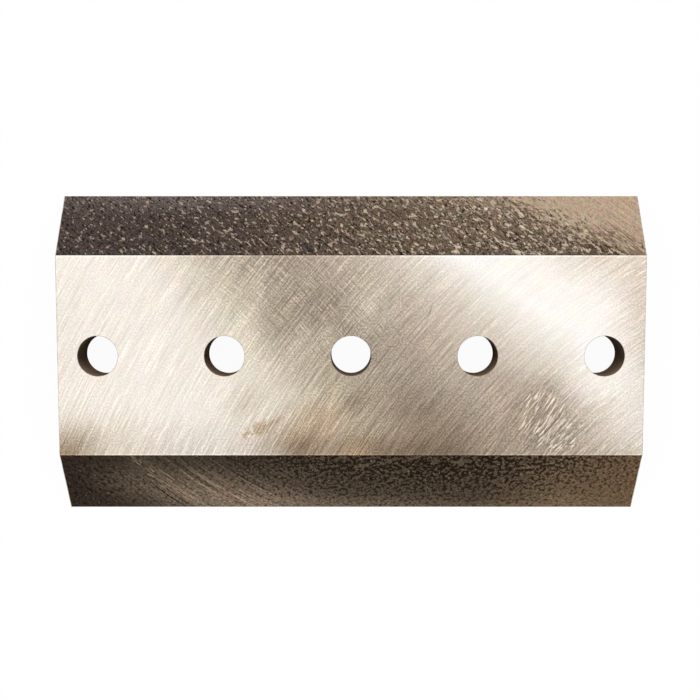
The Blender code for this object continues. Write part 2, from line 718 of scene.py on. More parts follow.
def total(spot: Spot, parts: tuple[Relief, ...]) -> Feed:
    """Add up several sets of scratches and grain.

    Args:
        spot: The shaded spot.
        parts: The sets.

    Returns:
        Their summed height at the spot.
    """
    height: Feed = 0.0
    for part in parts:
        height = spot.wires.math("ADD", part.swing(spot), height)
    return height


class Finish(ABC):
    """The finish of one surface, which makes its own material."""

    name: str

    def start(self, shared: SharedEffects) -> tuple[bpy.types.Material, bpy.types.Node, Spot]:
        """Begin the material.

        Args:
            shared: The shared groups.

        Returns:
            The new material, its Principled shader, and the spot that it shades.
        """
        material = bpy.data.materials.new(self.name)
        material.use_nodes = True
        wires = Wires(material.node_tree)
        shader = material.node_tree.nodes["Principled BSDF"]
        return material, shader, Spot(wires, shared, wires.place())

    @abstractmethod
    def material(self, shared: SharedEffects) -> bpy.types.Material:
        """Return the finished material, which uses the shared groups."""


@dataclass(frozen=True)
class GroundFace(Finish):
    """A bright face ground by a wide wheel: arcs of fine scratches, and tones that fan across them as a
    painted sheen.

    The scratches stand out most where the tone is dark, and are weaker in the calm field.
    """

    name: str
    tones: Tones
    patches: tuple[Patch, ...]
    layers: tuple[Flecks, ...]
    relief: tuple[Relief, ...]
    arris: float
    arris_width: float = 0.7
    arris_shine: float = 0.25
    drift: float = 5.0
    drift_scale: float = 0.045
    tint_size: float = 7.0
    tint_strength: float = 0.1
    deepest: float = 0.35
    calm: Field = EVERYWHERE
    calm_share: float = 0.0
    dark_lightness: float = 0.35
    bright_lightness: float = 0.92
    dark_contrast: float = 1.03
    bright_contrast: float = 0.22
    roughness: float = 0.36
    bump_strength: float = 0.3
    bump_distance: float = 0.00005

    def tone(self, spot: Spot) -> Socket:
        """Return the face's soft tones, which carry its painted sheen, without its scratches.

        Args:
            spot: The shaded spot.

        Returns:
            The colour there.
        """
        clouds = spot.wires.noise(spot.place, self.drift_scale).outputs[1]
        swing = spot.wires.vector("SUBTRACT", clouds, CLOUD_MIDDLE_COLOUR)
        drifted = spot.moved(spot.wires.scaled(swing, self.drift))
        colour = self.tones.colour(drifted)
        for patch in self.patches:
            colour = patch.over(drifted, colour)
        return lay(spot, colour, self.layers)[0]

    def contrast(self, spot: Spot, colour: Socket) -> Socket:
        """Return how much the scratches show.

        Args:
            spot: The shaded spot.
            colour: The soft tone there.

        Returns:
            The factor for the scratches' height.
        """
        wires = spot.wires
        lightness = wires.put("RGBToBW", {"Color": colour}).outputs[0]
        ends = (self.dark_lightness, self.bright_lightness, self.dark_contrast, self.bright_contrast)
        calm = wires.math("MULTIPLY_ADD", self.calm.mask(spot), -self.calm_share, 1.0)
        return wires.math("MULTIPLY", wires.spread(lightness, *ends), calm)

    def material(self, shared: SharedEffects) -> bpy.types.Material:
        """Make the face's material.

        Args:
            shared: The shared groups.

        Returns:
            The finished material.
        """
        material, shader, spot = self.start(shared)
        wires = spot.wires
        colour = self.tone(spot)
        relief = total(spot, self.relief)
        shallow = wires.math("SMOOTH_MAX", relief, -self.deepest, self.deepest)
        light = wires.math("MULTIPLY_ADD", shallow, self.contrast(spot, colour), 1.0)
        on_arris = spot.on_line(self.arris, self.arris_width)
        shine = wires.math("MULTIPLY_ADD", on_arris, self.arris_shine, 1.0)
        lit = wires.scaled(colour, wires.math("MULTIPLY", light, shine))
        bump = {"Strength": self.bump_strength, "Distance": self.bump_distance, "Height": relief}
        tint = spot.tint(self.tint_size, self.tint_strength)
        wires.feed(
            shader,
            {
                "Base Color": wires.vector("MULTIPLY", lit, tint),
                "Metallic": 1.0,
                "Roughness": self.roughness,
                "Normal": wires.put("Bump", bump).outputs[0],
            },
        )
        return material


@dataclass(frozen=True)
class ScaledBevel(Finish):
    """A bevel that keeps its dark pitted scale where the grinding hasn't reached down to it."""

    name: str
    tones: Tones
    patches: tuple[Patch, ...]
    layers: tuple[Flecks, ...]
    relief: tuple[Relief, ...]
    arris: float
    arris_width: float = 0.9
    arris_shade: float = 0.75
    scale_contrast: float = 1.0
    steel_contrast: float = 0.42
    tint_size: float = 3.0
    tint_strength: float = 0.35
    scale_roughness: float = 0.6
    steel_roughness: float = 0.4
    scale_metallic: float = 0.7
    bump_strength: float = 0.4
    bump_distance: float = 0.0001

    def material(self, shared: SharedEffects) -> bpy.types.Material:
        """Make the bevel's material.

        Args:
            shared: The shared groups.

        Returns:
            The finished material.
        """
        material, shader, spot = self.start(shared)
        wires = spot.wires
        colour = self.tones.colour(spot)
        for patch in self.patches:
            colour = patch.over(spot, colour)
        colour, bare = lay(spot, colour, self.layers)
        relief = total(spot, self.relief)
        contrast = wires.between(bare, self.scale_contrast, self.steel_contrast)
        light = wires.math("MULTIPLY_ADD", relief, contrast, 1.0)
        on_arris = spot.on_line(self.arris, self.arris_width)
        shade = wires.math("MULTIPLY_ADD", on_arris, -self.arris_shade, 1.0)
        lit = wires.scaled(colour, wires.math("MULTIPLY", light, shade))
        height = wires.math("ADD", bare, relief)
        bump = {"Strength": self.bump_strength, "Distance": self.bump_distance, "Height": height}
        tint = spot.tint(self.tint_size, self.tint_strength)
        wires.feed(
            shader,
            {
                "Base Color": wires.vector("MULTIPLY", lit, tint),
                "Metallic": wires.between(bare, self.scale_metallic, 1.0),
                "Roughness": wires.between(bare, self.scale_roughness, self.steel_roughness),
                "Specular IOR Level": 0.0,
                "Normal": wires.put("Bump", bump).outputs[0],
            },
        )
        return material


@dataclass(frozen=True)
class BoredWall(Finish):
    """The dark wall of a drilled hole, with the drill's fine rings, and painted light in brown on its
    lower side, broken up by clouds.
    """

    name: str = "bored_wall"
    colour: Colour = (36, 27, 24)
    lit_and_stained_brown: Colour = (166, 140, 118)
    lit_side: float = -8.7
    cloud_size: float = 4.0
    cloud_share: float = 0.35
    ring_pitch: float = 0.35
    ring_contrast: float = 0.12
    roughness: float = 0.8

    def material(self, shared: SharedEffects) -> bpy.types.Material:
        """Make the wall's material.

        Args:
            shared: The shared groups.

        Returns:
            The finished material.
        """
        material, shader, spot = self.start(shared)
        wires = spot.wires
        _, y, z = wires.split(spot.place)
        cloud = wires.noise(spot.place, 1 / self.cloud_size).outputs[0]
        # Painted light: the lower side of the wall turns lighter brown, mixed with brown clouds
        lower = wires.ease(y, self.lit_side, 0.0, 1.0, 0.0)
        share = wires.between(self.cloud_share, lower, cloud)
        colour = wires.blend(share, linear(self.colour), linear(self.lit_and_stained_brown))
        rings = wires.math("SINE", wires.math("MULTIPLY", z, 2 * pi / self.ring_pitch))
        light = wires.math("MULTIPLY_ADD", rings, self.ring_contrast, 1.0)
        wires.feed(
            shader,
            {
                "Base Color": wires.scaled(colour, light),
                "Metallic": 0.0,
                "Roughness": self.roughness,
                "Specular IOR Level": 0.0,
            },
        )
        return material


@dataclass(frozen=True)
class MilledEnd(Finish):
    """A milled end face, with fine straight tool lines across its thickness."""

    name: str = "milled_end"
    light: Colour = (176, 164, 150)
    dark: Colour = (112, 100, 88)
    line_pitch: float = 0.5
    line_length: float = 20.0
    cloud_scale: float = 0.15
    dark_level: float = 0.7
    light_level: float = 1.3
    roughness: float = 0.42

    def material(self, shared: SharedEffects) -> bpy.types.Material:
        """Make the end's material.

        Args:
            shared: The shared groups.

        Returns:
            The finished material.
        """
        material, shader, spot = self.start(shared)
        wires = spot.wires
        _, y, z = wires.split(spot.place)
        across = wires.math("DIVIDE", y, self.line_pitch)
        along = wires.math("DIVIDE", z, self.line_length)
        lines = wires.noise(wires.join(across, along, 0.0), 1.0).outputs[0]
        clouds = wires.noise(spot.place, self.cloud_scale).outputs[0]
        both = wires.math("ADD", lines, clouds)
        share = wires.spread(both, self.dark_level, self.light_level, 0.0, 1.0)
        colour = wires.blend(share, linear(self.dark), linear(self.light))
        wires.feed(shader, {"Base Color": colour, "Metallic": 1.0, "Roughness": self.roughness})
        return material


@dataclass(frozen=True)
class BrokenEdge(Finish):
    """The narrow facet where a sharp edge has been taken off."""

    name: str = "broken_edge"
    bright: Colour = (214, 200, 184)
    worn: Colour = (168, 152, 134)
    cloud_size: float = 3.0
    roughness: float = 0.35

    def material(self, shared: SharedEffects) -> bpy.types.Material:
        """Make the facet's material.

        Args:
            shared: The shared groups.

        Returns:
            The finished material.
        """
        material, shader, spot = self.start(shared)
        clouds = spot.wires.noise(spot.place, 1 / self.cloud_size).outputs[0]
        wear = spot.wires.ease(clouds, CLOUD_START, CLOUD_END)
        colour = spot.wires.blend(wear, linear(self.bright), linear(self.worn))
        spot.wires.feed(shader, {"Base Color": colour, "Metallic": 1.0, "Roughness": self.roughness})
        return material


# The centres that the scratches run round, in millimetres: far off, where the wheel was a wide one
WHEEL_CENTRE: Point = (274.0, -207.0)
SECOND_WHEEL_CENTRE: Point = (330.0, -290.0)
CROSS_WHEEL_CENTRE: Point = (-300.0, -250.0)
GOUGE_CENTRE: Point = (207.0, -118.0)
BEVEL_WHEEL_CENTRE: Point = (-1600.0, -1960.0)
LOWER_WHEEL_CENTRE: Point = (36.0, 66.0)
BACK_WHEEL_CENTRE: Point = (-280.0, -240.0)
BACK_CROSS_WHEEL_CENTRE: Point = (300.0, -250.0)


def front_face(arris: float) -> GroundFace:
    """Choose the front face's finish: fans of scratches under a painted sheen, dim low in the middle,
    gouged at the right.

    Args:
        arris: How far from the centre line the face ends, in millimetres.

    Returns:
        The finish.
    """
    # Painted sheen: the lights' reflection on the ground steel, fanning out across the face
    fan = SheenFan(
        apex=(-188.0, 200.0),
        stops=(
            (28.0, (226, 213, 198)),
            (31.0, (250, 243, 235)),
            (33.7, (252, 247, 241)),
            (37.0, (219, 208, 194)),
            (40.0, (193, 178, 162)),
            (43.0, (174, 159, 143)),
            (45.5, (167, 153, 137)),
            (48.0, (181, 168, 150)),
            (51.0, (199, 187, 168)),
            (54.0, (222, 212, 195)),
            (58.0, (238, 229, 218)),
            (64.0, (242, 234, 224)),
            (72.0, (238, 229, 218)),
        ),
    )
    # Soft tones, from the whole lower half down to single smears, each laid over those before it: painted
    # reflections and glare of the lights, a darkening towards the bottom, and the steel's own tone
    patches = (
        Patch(Oval((0.0, -62.0), (300.0, 44.0), core=0.3), (150, 132, 110), 0.35),
        Patch(Oval((5.0, -42.0), (64.0, 17.0)), (137, 116, 94), 0.85),
        Patch(Oval((36.0, -43.0), (36.0, 17.0)), (104, 86, 70), 0.7),
        Patch(Oval((124.0, -30.0), (24.0, 18.0)), (246, 236, 226), 0.5),
        Patch(Oval((30.0, -27.0), (46.0, 20.0), turn=-12.0), (140, 122, 104), 0.7),
        Patch(Oval((-118.0, -42.0), (52.0, 27.0)), (214, 200, 178), 0.6),
        Patch(Oval((-127.0, -45.0), (28.0, 18.0), turn=30.0), (150, 129, 104), 1.0),
        Patch(Oval((-20.0, 22.0), (23.0, 16.0)), (150, 137, 120), 0.5),
        Patch(Oval((-31.0, 12.0), (15.0, 22.0)), (150, 137, 120), 0.4),
        Patch(Oval((9.0, 25.0), (15.0, 18.0)), (204, 196, 176), 0.6),
        Patch(Oval((130.0, 15.0), (24.0, 60.0)), (216, 202, 186), 0.95),
        Patch(Oval((-10.0, -8.0), (24.0, 14.0)), (156, 142, 124), 0.35),
        Patch(Oval((70.0, -14.0), (24.0, 13.0), turn=-20.0), (158, 142, 125), 0.45),
        Patch(Oval((-17.0, -29.0), (39.0, 18.0), turn=30.0), (172, 150, 123), 0.6),
        Patch(Oval((-46.0, -21.0), (17.0, 13.0)), (196, 180, 155), 0.4),
        Patch(Oval((104.0, -12.0), (22.0, 14.0), turn=10.0), (252, 245, 236), 0.75),
        Patch(Oval((33.5, 20.0), (0.5, 5.5), turn=-25.0), (112, 98, 84), 0.7),
        Patch(Oval((3.0, -19.0), (11.0, 10.0)), (148, 133, 116), 0.5),
        Patch(Oval((-14.0, -30.0), (22.0, 12.0), turn=30.0), (192, 163, 131), 0.4),
        Patch(Oval((-20.0, -41.0), (20.0, 12.0)), (138, 117, 97), 0.7),
        Patch(Oval((1.0, -42.0), (12.0, 9.0)), (176, 150, 122), 0.6),
        Patch(Oval((80.0, -25.0), (34.0, 20.0), turn=20.0), (168, 150, 131), 0.75),
    )
    smudge = Oval((-38.5, -31.3), (21.0, 6.5), turn=20.0, core=0.2)
    steep_gouges = Oval((83.0, -25.0), (17.0, 20.0), turn=-25.0, core=0.4)
    flat_gouges = Oval((90.0, -35.0), (20.0, 12.0), turn=18.0, core=0.4)
    # A pale brown smudge at the lower left, and two fields of bright gouges at the lower right, with
    # painted shade on their rims
    layers = (
        Flecks(
            (190, 171, 148), size=2.6, stretch=1.8, turn=28.0, seed=12.0, outside=0.66, inside=0.36,
            field=smudge, edge=0.12, rim_width=0.0, outside_share=0.0,
        ),
        Flecks(
            (226, 212, 193), size=0.75, stretch=10.0, turn=60.0, seed=15.0, outside=0.72, inside=0.51,
            field=steep_gouges, edge=0.1, rim_width=0.12, rim_shade=0.3, outside_share=0.0,
        ),
        Flecks(
            (226, 211, 192), size=0.9, stretch=5.5, turn=47.0, seed=19.0, outside=0.72, inside=0.5,
            field=flat_gouges, edge=0.12, rim_width=0.12, rim_shade=0.35, outside_share=0.0,
        ),
    )
    crossed = Oval((-20.0, 24.0), (66.0, 34.0), turn=-15.0, core=0.3)
    worn = Oval((22.0, 6.0), (84.0, 34.0), turn=-10.0, core=0.3)
    gouged = Oval((86.0, -30.0), (27.0, 18.0), turn=20.0, core=0.5)
    lower_part = Beyond((60.0, 40.0), heading=262.0, fade=80.0)
    golden = Oval((-24.0, -31.0), (30.0, 15.0), turn=20.0, core=0.4)
    # The wheel's fine and wider arcs, and over them worn, warm, crossing and gouged places
    relief = (
        Grain(size=0.75, seed=3.0, strength=1.9),
        Streaks(WHEEL_CENTRE, spacing=0.5, length=6.0, seed=1.0, strength=2.0),
        Streaks(WHEEL_CENTRE, spacing=0.9, length=10.0, seed=7.0, strength=1.1),
        Streaks(SECOND_WHEEL_CENTRE, spacing=0.6, length=7.0, seed=5.0, strength=1.0, field=lower_part),
        Streaks(WHEEL_CENTRE, spacing=1.2, length=4.5, seed=17.0, strength=5.2, power=3.0, field=worn),
        Streaks(WHEEL_CENTRE, spacing=0.7, length=6.0, seed=31.0, strength=1.8, field=golden),
        Streaks(CROSS_WHEEL_CENTRE, spacing=0.42, length=3.0, seed=9.0, strength=2.2, field=crossed),
        Streaks(GOUGE_CENTRE, spacing=0.8, length=16.0, seed=13.0, strength=2.0, field=gouged),
    )
    calm = Oval((64.0, 12.0), (60.0, 38.0), core=0.3)
    return GroundFace("ground_front_face", fan, patches, layers, relief, arris, calm=calm, calm_share=0.3)


def back_face(edge: float) -> GroundFace:
    """Choose the back face's finish, which is ground like the front but more evenly.

    Args:
        edge: How far from the centre line the face ends, in millimetres.

    Returns:
        The finish.
    """
    # Painted sheen, fanning out across the back face as on the front
    fan = SheenFan(
        apex=(260.0, 240.0),
        stops=(
            (105.0, (226, 217, 205)),
            (120.0, (198, 188, 174)),
            (135.0, (212, 203, 190)),
            (150.0, (186, 175, 160)),
            (165.0, (220, 212, 200)),
        ),
    )
    patches = (
        Patch(Oval((-70.0, 30.0), (50.0, 26.0), turn=30.0), (168, 152, 132), 0.5),
        Patch(Oval((60.0, -40.0), (60.0, 20.0), turn=-10.0), (176, 164, 148), 0.5),
    )
    crossed = Oval((40.0, 20.0), (60.0, 40.0), core=0.3)
    relief = (
        Grain(size=0.75, seed=23.0, strength=1.7),
        Streaks(BACK_WHEEL_CENTRE, spacing=0.5, length=7.0, seed=21.0, strength=2.1),
        Streaks(BACK_WHEEL_CENTRE, spacing=0.65, length=10.0, seed=25.0, strength=1.3),
        Streaks(BACK_WHEEL_CENTRE, spacing=0.75, length=14.0, seed=27.0, strength=10.0, power=3.0),
        Streaks(BACK_CROSS_WHEEL_CENTRE, spacing=0.5, length=8.0, seed=29.0, strength=1.6, field=crossed),
    )
    return GroundFace("ground_back_face", fan, patches, (), relief, edge)


def upper_bevel(arris: float) -> ScaledBevel:
    """Choose the upper bevel's finish: dark scale, flecked more and more towards its ground right end.

    Args:
        arris: How far from the centre line the bevel starts, in millimetres.

    Returns:
        The finish.
    """
    rightwards = Beyond((-127.0, 0.0), heading=0.0, fade=240.0)
    ground_end = Beyond((76.4, 48.2), heading=66.0, fade=34.0)
    dim_corner = Oval((119.0, 48.0), (36.0, 12.0), turn=-22.0, core=0.3)
    right_part = Beyond((-70.0, 0.0), heading=0.0, fade=150.0)
    dark_corner = Oval((110.0, 45.5), (24.0, 9.0), turn=-15.0, core=0.2)
    tones = Lengthwise(
        stops=(
            (-127.0, (82, 71, 67)),
            (-60.0, (84, 72, 66)),
            (0.0, (107, 91, 77)),
            (60.0, (127, 108, 91)),
            (127.0, (122, 102, 84)),
        )
    )
    patches = (
        Patch(Oval((-70.0, 70.0), (120.0, 11.0)), (122, 110, 105), 0.8),
        Patch(Oval((55.0, 72.0), (110.0, 13.0)), (156, 136, 114), 0.6),
        Patch(Oval((40.0, 43.0), (120.0, 9.0)), (92, 80, 66), 0.35),
        Patch(Oval((-20.0, 47.5), (7.0, 5.0)), (88, 78, 74), 0.9),
        Patch(Beyond((80.7, 57.6), heading=66.0, fade=21.0), (192, 170, 146), 0.95),
        Patch(Oval((60.0, 67.0), (18.0, 8.0), turn=-20.0), (178, 156, 134), 0.45),
        Patch(Oval((114.0, 46.0), (32.0, 8.0), turn=-10.0), (100, 85, 72), 0.35),
    )
    # Pits, three sizes of light flecks, the bare steel of the ground end with its hatching, a dark corner
    layers = (
        Flecks(
            (50, 36, 28), size=1.3, stretch=1.4, turn=-40.0, seed=41.0, outside=0.55, inside=0.74,
            field=ground_end, edge=0.12, rim_width=0.0, rim_shade=0.0, bare_steel=False,
        ),
        Flecks(
            (169, 153, 139), size=1.3, stretch=1.9, turn=-42.0, seed=43.0, outside=0.61, inside=0.55,
            field=rightwards, outside_share=0.7,
        ),
        Flecks(
            (200, 183, 161), size=1.65, stretch=1.8, turn=-38.0, seed=47.0, outside=0.635, inside=0.555,
            field=rightwards, outside_share=0.5,
        ),
        Flecks(
            (214, 196, 170), size=2.2, stretch=1.7, turn=-36.0, seed=51.0, outside=0.72, inside=0.6,
            field=right_part, outside_share=0.5,
        ),
        Flecks(
            (189, 166, 142), size=1.3, stretch=2.5, turn=-38.0, seed=53.0, outside=0.68, inside=0.12,
            field=ground_end, edge=0.16, rim_width=0.1, rim_shade=0.1,
        ),
        Flecks(
            (138, 117, 98), size=0.9, stretch=8.0, turn=-42.0, seed=89.0, outside=0.8, inside=0.46,
            field=dim_corner, edge=0.12, rim_width=0.0, rim_shade=0.0, outside_share=0.0,
        ),
        Flecks(
            (168, 145, 123), size=0.9, stretch=10.0, turn=-42.0, seed=91.0, outside=0.64, inside=0.56,
            field=ground_end, edge=0.1, rim_width=0.0, rim_shade=0.0, outside_share=0.0,
        ),
        Flecks(
            (82, 67, 55), size=1.5, stretch=1.8, turn=-40.0, seed=55.0, outside=0.8, inside=0.5,
            field=dark_corner, edge=0.1, rim_width=0.0, rim_shade=0.0, outside_share=0.0,
            bare_steel=False,
        ),
    )
    relief = (
        Grain(size=0.7, seed=57.0, strength=2.9, stretch=1.4, turn=-40.0),
        Grain(size=1.3, seed=59.0, strength=1.2, stretch=1.6, turn=-42.0),
        Streaks(BEVEL_WHEEL_CENTRE, spacing=0.7, length=12.0, seed=61.0, strength=1.8),
    )
    return ScaledBevel("scaled_upper_bevel", tones, patches, layers, relief, arris)


def lower_bevel(arris: float) -> ScaledBevel:
    """Choose the lower bevel's finish: near-black mottled scale, browner towards its edge and right end,
    and darker than the upper bevel partly as painted shade of a bevel turned from the light.

    Args:
        arris: How far from the centre line the bevel starts, in millimetres.

    Returns:
        The finish.
    """
    # Darker than the upper bevel's tones: partly the scale's own colour, partly painted shade of the side
    # turned away from the light
    tones = Lengthwise(
        stops=(
            (-127.0, (54, 43, 35)),
            (-100.0, (65, 55, 45)),
            (-60.0, (88, 76, 64)),
            (0.0, (84, 73, 61)),
            (60.0, (86, 74, 59)),
            (90.0, (114, 95, 74)),
            (127.0, (114, 92, 69)),
        )
    )
    patches = (
        Patch(Oval((-42.0, -43.0), (54.0, 12.0)), (56, 47, 39), 0.8),
        Patch(Oval((-47.0, -67.5), (85.0, 16.5), turn=-11.0), (141, 123, 105), 0.95),
        Patch(Oval((86.0, -72.0), (90.0, 9.0)), (128, 109, 88), 0.5),
        Patch(Oval((78.0, -49.0), (14.0, 6.0)), (116, 99, 78), 0.7),
        Patch(Oval((6.0, -70.0), (60.0, 9.0)), (118, 103, 87), 0.75),
        Patch(Oval((-90.0, -49.0), (15.0, 7.0), turn=-30.0), (110, 96, 80), 0.35),
        Patch(Oval((-53.0, -59.0), (16.0, 7.0), turn=-25.0), (80, 69, 57), 0.25),
        Patch(Oval((97.0, -66.0), (13.0, 7.0)), (136, 115, 90), 0.4),
    )
    mottled = Oval((36.0, -34.0), (140.0, 46.0), core=0.3)
    left_end = Oval((-122.0, -56.0), (60.0, 40.0))
    scratched = Oval((-84.0, -56.0), (14.0, 9.0), turn=-40.0, core=0.4)
    deep_scratch = Oval((-94.0, -46.0), (7.0, 3.0), turn=-45.0, core=0.4)
    # Pits and brown clouds, the dark scale of the left end, light flecks, and two scratched places
    layers = (
        Flecks(
            (37, 26, 18), size=1.35, stretch=1.2, turn=5.0, seed=71.0, outside=0.58, inside=0.42,
            field=mottled, edge=0.08, rim_width=0.0, rim_shade=0.0, outside_share=0.6, bare_steel=False,
        ),
        Flecks(
            (92, 80, 64), size=4.2, stretch=1.3, turn=8.0, seed=87.0, outside=0.72, inside=0.58,
            field=mottled, edge=0.06, rim_width=0.0, rim_shade=0.0, outside_share=0.0, bare_steel=False,
        ),
        Flecks(
            (34, 27, 22), size=1.3, stretch=1.6, turn=-45.0, seed=73.0, outside=0.6, inside=0.5,
            field=left_end, edge=0.1, rim_width=0.0, rim_shade=0.0, outside_share=0.0, bare_steel=False,
        ),
        Flecks(
            (116, 101, 84), size=1.2, stretch=1.4, turn=-30.0, seed=75.0, outside=0.64, inside=0.6,
            field=mottled, edge=0.1,
        ),
        Flecks(
            (134, 119, 96), size=1.1, stretch=6.0, turn=-42.0, seed=77.0, outside=0.8, inside=0.54,
            field=scratched, edge=0.08, outside_share=0.0,
        ),
        Flecks(
            (140, 123, 98), size=1.0, stretch=10.0, turn=-45.0, seed=85.0, outside=0.8, inside=0.54,
            field=deep_scratch, outside_share=0.0,
        ),
    )
    streaked = Oval((-60.0, -60.0), (90.0, 30.0))
    relief = (
        Grain(size=0.7, seed=79.0, strength=2.4, stretch=1.5, turn=-38.0),
        Grain(size=1.3, seed=81.0, strength=1.1, stretch=1.4, turn=-30.0),
        Streaks(LOWER_WHEEL_CENTRE, spacing=0.5, length=12.0, seed=83.0, strength=3.8, field=streaked),
    )
    return ScaledBevel("scaled_lower_bevel", tones, patches, layers, relief, arris)


def bolt_hole_centres() -> list[float]:
    """Return the X of each bolt hole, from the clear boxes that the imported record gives."""
    openings = frame["record"]["physics"]["openings"]
    return [(low[0] + high[0]) / 2 for low, high in (opening["box_m"] for opening in openings)]


@dataclass
class Knife:
    """The knife: a plate ground to a bevel along both long sides and bored for bolts.

    Lengths are in metres and angles in degrees. Faces are told apart by a slant that counts as none,
    and by how far a bore's wall may lean.
    """

    bevel_angle: float = 30.5
    edge_land: float = 0.0001
    least_slant: float = 1.0
    wall_lean: float = 6.0
    weld_distance: float = 1e-8
    edge_break: float = 0.0003
    edge_break_segments: int = 2
    bolt_hole_radius: float = 0.00873125
    bolt_hole_chamfer: float = 0.00015
    bolt_hole_sides: int = 160
    cutter_overrun: float = 0.002
    low: Vector = field(default_factory=lambda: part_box(KNIFE_NODE)[0])
    high: Vector = field(default_factory=lambda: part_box(KNIFE_NODE)[1])

    def bevel_normal(self, side: LongSide) -> Vector:
        """Return the outward normal of one bevel."""
        angle = radians(self.bevel_angle)
        return Vector((0.0, side.value * sin(angle), cos(angle)))

    def land_margin(self) -> float:
        """Return a length that is wider than the cutting edges' land, and less than all other edges."""
        return 2 * self.edge_land

    def arris_distance(self) -> float:
        """Return how far from the centre line the front face ends."""
        rise = self.high.z - self.low.z - self.edge_land
        return self.high.y - rise / tan(radians(self.bevel_angle))

    def grind(self, plate: bmesh.types.BMesh, point: Vector, normal: Vector) -> None:
        """Take off what lies outside a plane, and close the plate there.

        Args:
            plate: The closed plate.
            point: A point on the plane.
            normal: The plane's normal, out of the steel.
        """
        bmesh.ops.bisect_plane(
            plate,
            geom=plate.verts[:] + plate.edges[:] + plate.faces[:],
            dist=self.weld_distance,
            plane_co=point,
            plane_no=normal,
            clear_outer=True,
        )
        bmesh.ops.contextual_create(plate, geom=[edge for edge in plate.edges if edge.is_boundary])

    def make_plate(self) -> bmesh.types.BMesh:
        """Make the plate, with both bevels ground and its upper edges broken, still without holes.

        Returns:
            The plate's bmesh.
        """
        plate = bmesh.new()
        bmesh.ops.create_cube(plate, size=1.0)
        bmesh.ops.scale(plate, verts=plate.verts, vec=self.high - self.low)
        bmesh.ops.translate(plate, verts=plate.verts, vec=(self.high + self.low) / 2)
        for side in LongSide:
            cutting_edge = Vector((0.0, side.value * self.high.y, self.low.z + self.edge_land))
            self.grind(plate, cutting_edge, self.bevel_normal(side))
        bmesh.ops.recalc_face_normals(plate, faces=plate.faces)
        rim = [edge for edge in plate.edges if min(vert.co.z for vert in edge.verts) > self.land_margin()]
        rim += [edge for edge in plate.edges if self.is_end_slope(edge)]
        bmesh.ops.bevel(
            plate,
            geom=rim,
            offset=self.edge_break,
            offset_type="OFFSET",
            segments=self.edge_break_segments,
            profile=0.5,
            affect="EDGES",
            material=-1,
        )
        return plate

    def is_end_slope(self, edge: bmesh.types.BMEdge) -> bool:
        """Return whether an edge runs down a bevel at one end of the plate."""
        first, second = (vert.co for vert in edge.verts)
        return min(abs(first.z - second.z), abs(first.y - second.y)) > self.land_margin()

    def make_cutter(self, centre_x: float) -> bpy.types.Object:
        """Turn a cutter for one bolt hole, flared at both ends for its chamfers.

        Args:
            centre_x: Where the hole is along the knife.

        Returns:
            The cutter's object.
        """
        flare = self.bolt_hole_radius + self.bolt_hole_chamfer + self.cutter_overrun
        outline = (
            (flare, self.low.z - self.cutter_overrun),
            (self.bolt_hole_radius, self.low.z + self.bolt_hole_chamfer),
            (self.bolt_hole_radius, self.high.z - self.bolt_hole_chamfer),
            (flare, self.high.z + self.cutter_overrun),
        )
        cutter = bmesh.new()
        corners = [cutter.verts.new((centre_x + radius, 0.0, height)) for radius, height in outline]
        for lower, upper in zip(corners, corners[1:]):
            cutter.edges.new((lower, upper))
        bmesh.ops.spin(
            cutter,
            geom=cutter.verts[:] + cutter.edges[:],
            cent=(centre_x, 0.0, 0.0),
            axis=(0.0, 0.0, 1.0),
            angle=radians(360),
            steps=self.bolt_hole_sides,
            use_merge=True,
        )
        bmesh.ops.holes_fill(cutter, edges=[edge for edge in cutter.edges if edge.is_boundary])
        bmesh.ops.recalc_face_normals(cutter, faces=cutter.faces)
        return self.link("bolt_hole_cutter", cutter)

    @staticmethod
    def link(name: str, shape: bmesh.types.BMesh) -> bpy.types.Object:
        """Put a bmesh into the scene as an object, and free it.

        Args:
            name: The object's name.
            shape: The bmesh.

        Returns:
            The new object.
        """
        mesh = bpy.data.meshes.new(name)
        shape.to_mesh(mesh)
        shape.free()
        item = bpy.data.objects.new(name, mesh)
        bpy.context.scene.collection.objects.link(item)
        return item

    def bore(self, knife: bpy.types.Object) -> None:
        """Cut the bolt holes through the plate, and leave no modifier on it.

        Args:
            knife: The plate's object.
        """
        cutters = [self.make_cutter(centre_x) for centre_x in bolt_hole_centres()]
        for cutter in cutters:
            cut = knife.modifiers.new("bolt_hole", "BOOLEAN")
            cut.operation = "DIFFERENCE"
            cut.solver = "EXACT"
            cut.object = cutter
        evaluated = knife.evaluated_get(bpy.context.evaluated_depsgraph_get())
        bored = bpy.data.meshes.new_from_object(evaluated)
        knife.modifiers.clear()
        knife.data = bored
        for cutter in cutters:
            bpy.data.objects.remove(cutter)

    def surface_of(self, face: bpy.types.MeshPolygon) -> Surface:
        """Tell which surface a face belongs to.

        Args:
            face: A face of the bored plate.

        Returns:
            Its surface.
        """
        normal, centre = face.normal, face.center
        level = cos(radians(self.least_slant))
        mouth = self.bolt_hole_radius + self.bolt_hole_chamfer
        in_hole = any(hypot(centre.x - hole, centre.y) < mouth for hole in bolt_hole_centres())
        if normal.z > level:
            return Surface.FRONT
        if normal.z < -level:
            return Surface.BACK
        if in_hole:
            upright = abs(normal.z) < sin(radians(self.wall_lean))
            return Surface.BORE if upright else Surface.BROKEN_EDGE
        if normal.dot(self.bevel_normal(LongSide.UPPER)) > level:
            return Surface.UPPER_BEVEL
        if normal.dot(self.bevel_normal(LongSide.LOWER)) > level:
            return Surface.LOWER_BEVEL
        if abs(normal.x) > level:
            return Surface.END
        along_arris = abs(normal.x) < sin(radians(self.least_slant)) and normal.z > 0.0
        return Surface.FRONT if along_arris else Surface.BROKEN_EDGE

